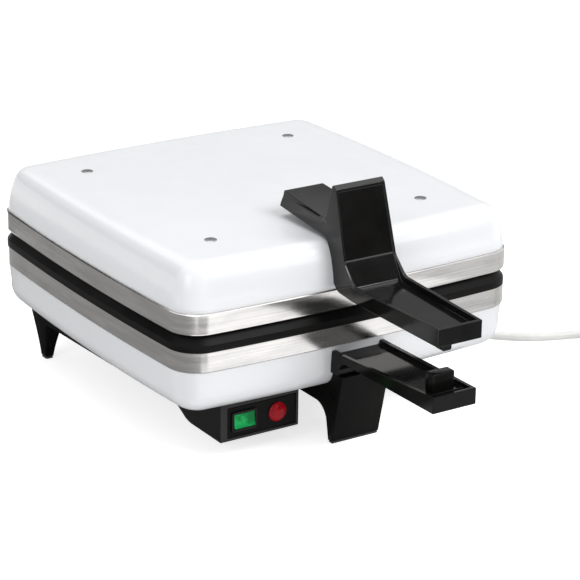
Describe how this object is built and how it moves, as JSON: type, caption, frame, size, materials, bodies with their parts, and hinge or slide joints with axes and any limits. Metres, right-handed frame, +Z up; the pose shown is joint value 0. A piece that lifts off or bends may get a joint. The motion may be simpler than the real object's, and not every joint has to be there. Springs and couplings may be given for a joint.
{
  "type": "contact grill",
  "caption": "Square contact grill with a white hinged lid and base, bright aluminium plates, black front handles, black feet, a green rocker switch and a red lamp.",
  "frame": {"origin": "on the standing surface, under the middle of the grill's length and width without its cord", "axes": "+X to the grill's right seen from the front, +Y to the rear where the hinge is, -Y to the front where the handles are, +Z up"},
  "size_m": [0.4927, 0.5419, 0.2007],
  "materials": {
    "white_enamel": "gloss",
    "polished_aluminium": "brushed",
    "black_coating": "satin",
    "black_plastic": "gloss",
    "matte_black": "matte",
    "steel": "satin",
    "dark_screw": "satin",
    "ceramic": "matte",
    "rubber": "matte",
    "cord_white": "satin",
    "wire_insulation": "matte",
    "green_rocker": "gloss",
    "red_lens": "gloss"
  },
  "bodies": {
    "base": {"lower_cooking_plate": "polished_aluminium", "lower_heating_element": "steel", "lower_clamp_plate": "polished_aluminium", "lower_clamp_screws": "steel", "lower_heat_shield": "polished_aluminium", "lower_thermostat": "ceramic", "lower_spacers": "steel", "lower_housing": "white_enamel", "base_plate": "matte_black", "base_screws": "dark_screw", "lower_handle": "black_plastic", "lower_handle_screws": "steel", "front_foot": "black_plastic", "rear_left_foot": "black_plastic", "rear_right_foot": "black_plastic", "foot_pads": "rubber", "foot_screws": "steel", "control_box": "matte_black", "control_panel": "matte_black", "rocker_switch_body": "matte_black", "pilot_lens": "red_lens", "pilot_lamp": "matte_black", "hinge_bracket_left": "black_plastic", "hinge_bracket_right": "black_plastic", "hinge_pins": "steel", "base_hinge_screws": "steel", "terminal_block": "ceramic", "base_wiring": "wire_insulation", "lid_lead_lower": "wire_insulation", "cord_gland": "cord_white", "mains_cord": "cord_white", "cord_coil": "cord_white", "cord_tail": "cord_white", "plug": "cord_white"},
    "lid": {"lid_cover": "white_enamel", "lid_cover_screws": "dark_screw", "upper_spacers": "steel", "upper_cooking_plate": "polished_aluminium", "upper_heating_element": "steel", "upper_clamp_plate": "polished_aluminium", "upper_clamp_screws": "steel", "upper_heat_shield": "polished_aluminium", "upper_limiter": "ceramic", "upper_handle": "black_plastic", "upper_handle_screws": "steel", "hinge_arm_left": "black_plastic", "hinge_arm_right": "black_plastic", "lid_hinge_screws": "steel", "lid_wiring": "wire_insulation", "lid_lead_upper": "wire_insulation"},
    "switch_rocker": {"rocker": "green_rocker"}
  },
  "joints": [
    {"name": "lid_hinge", "type": "hinge", "parent": "base", "child": "lid", "pos_m": [0, 0.21425, 0.1068], "axis": [-1, 0, 0], "range_deg": [0, 100]},
    {"name": "rocker_tip", "type": "hinge", "parent": "base", "child": "switch_rocker", "pos_m": [-0.0875, -0.08075, 0.0286], "axis": [1, 0, 0], "range_deg": [0, 14]}
  ]
}
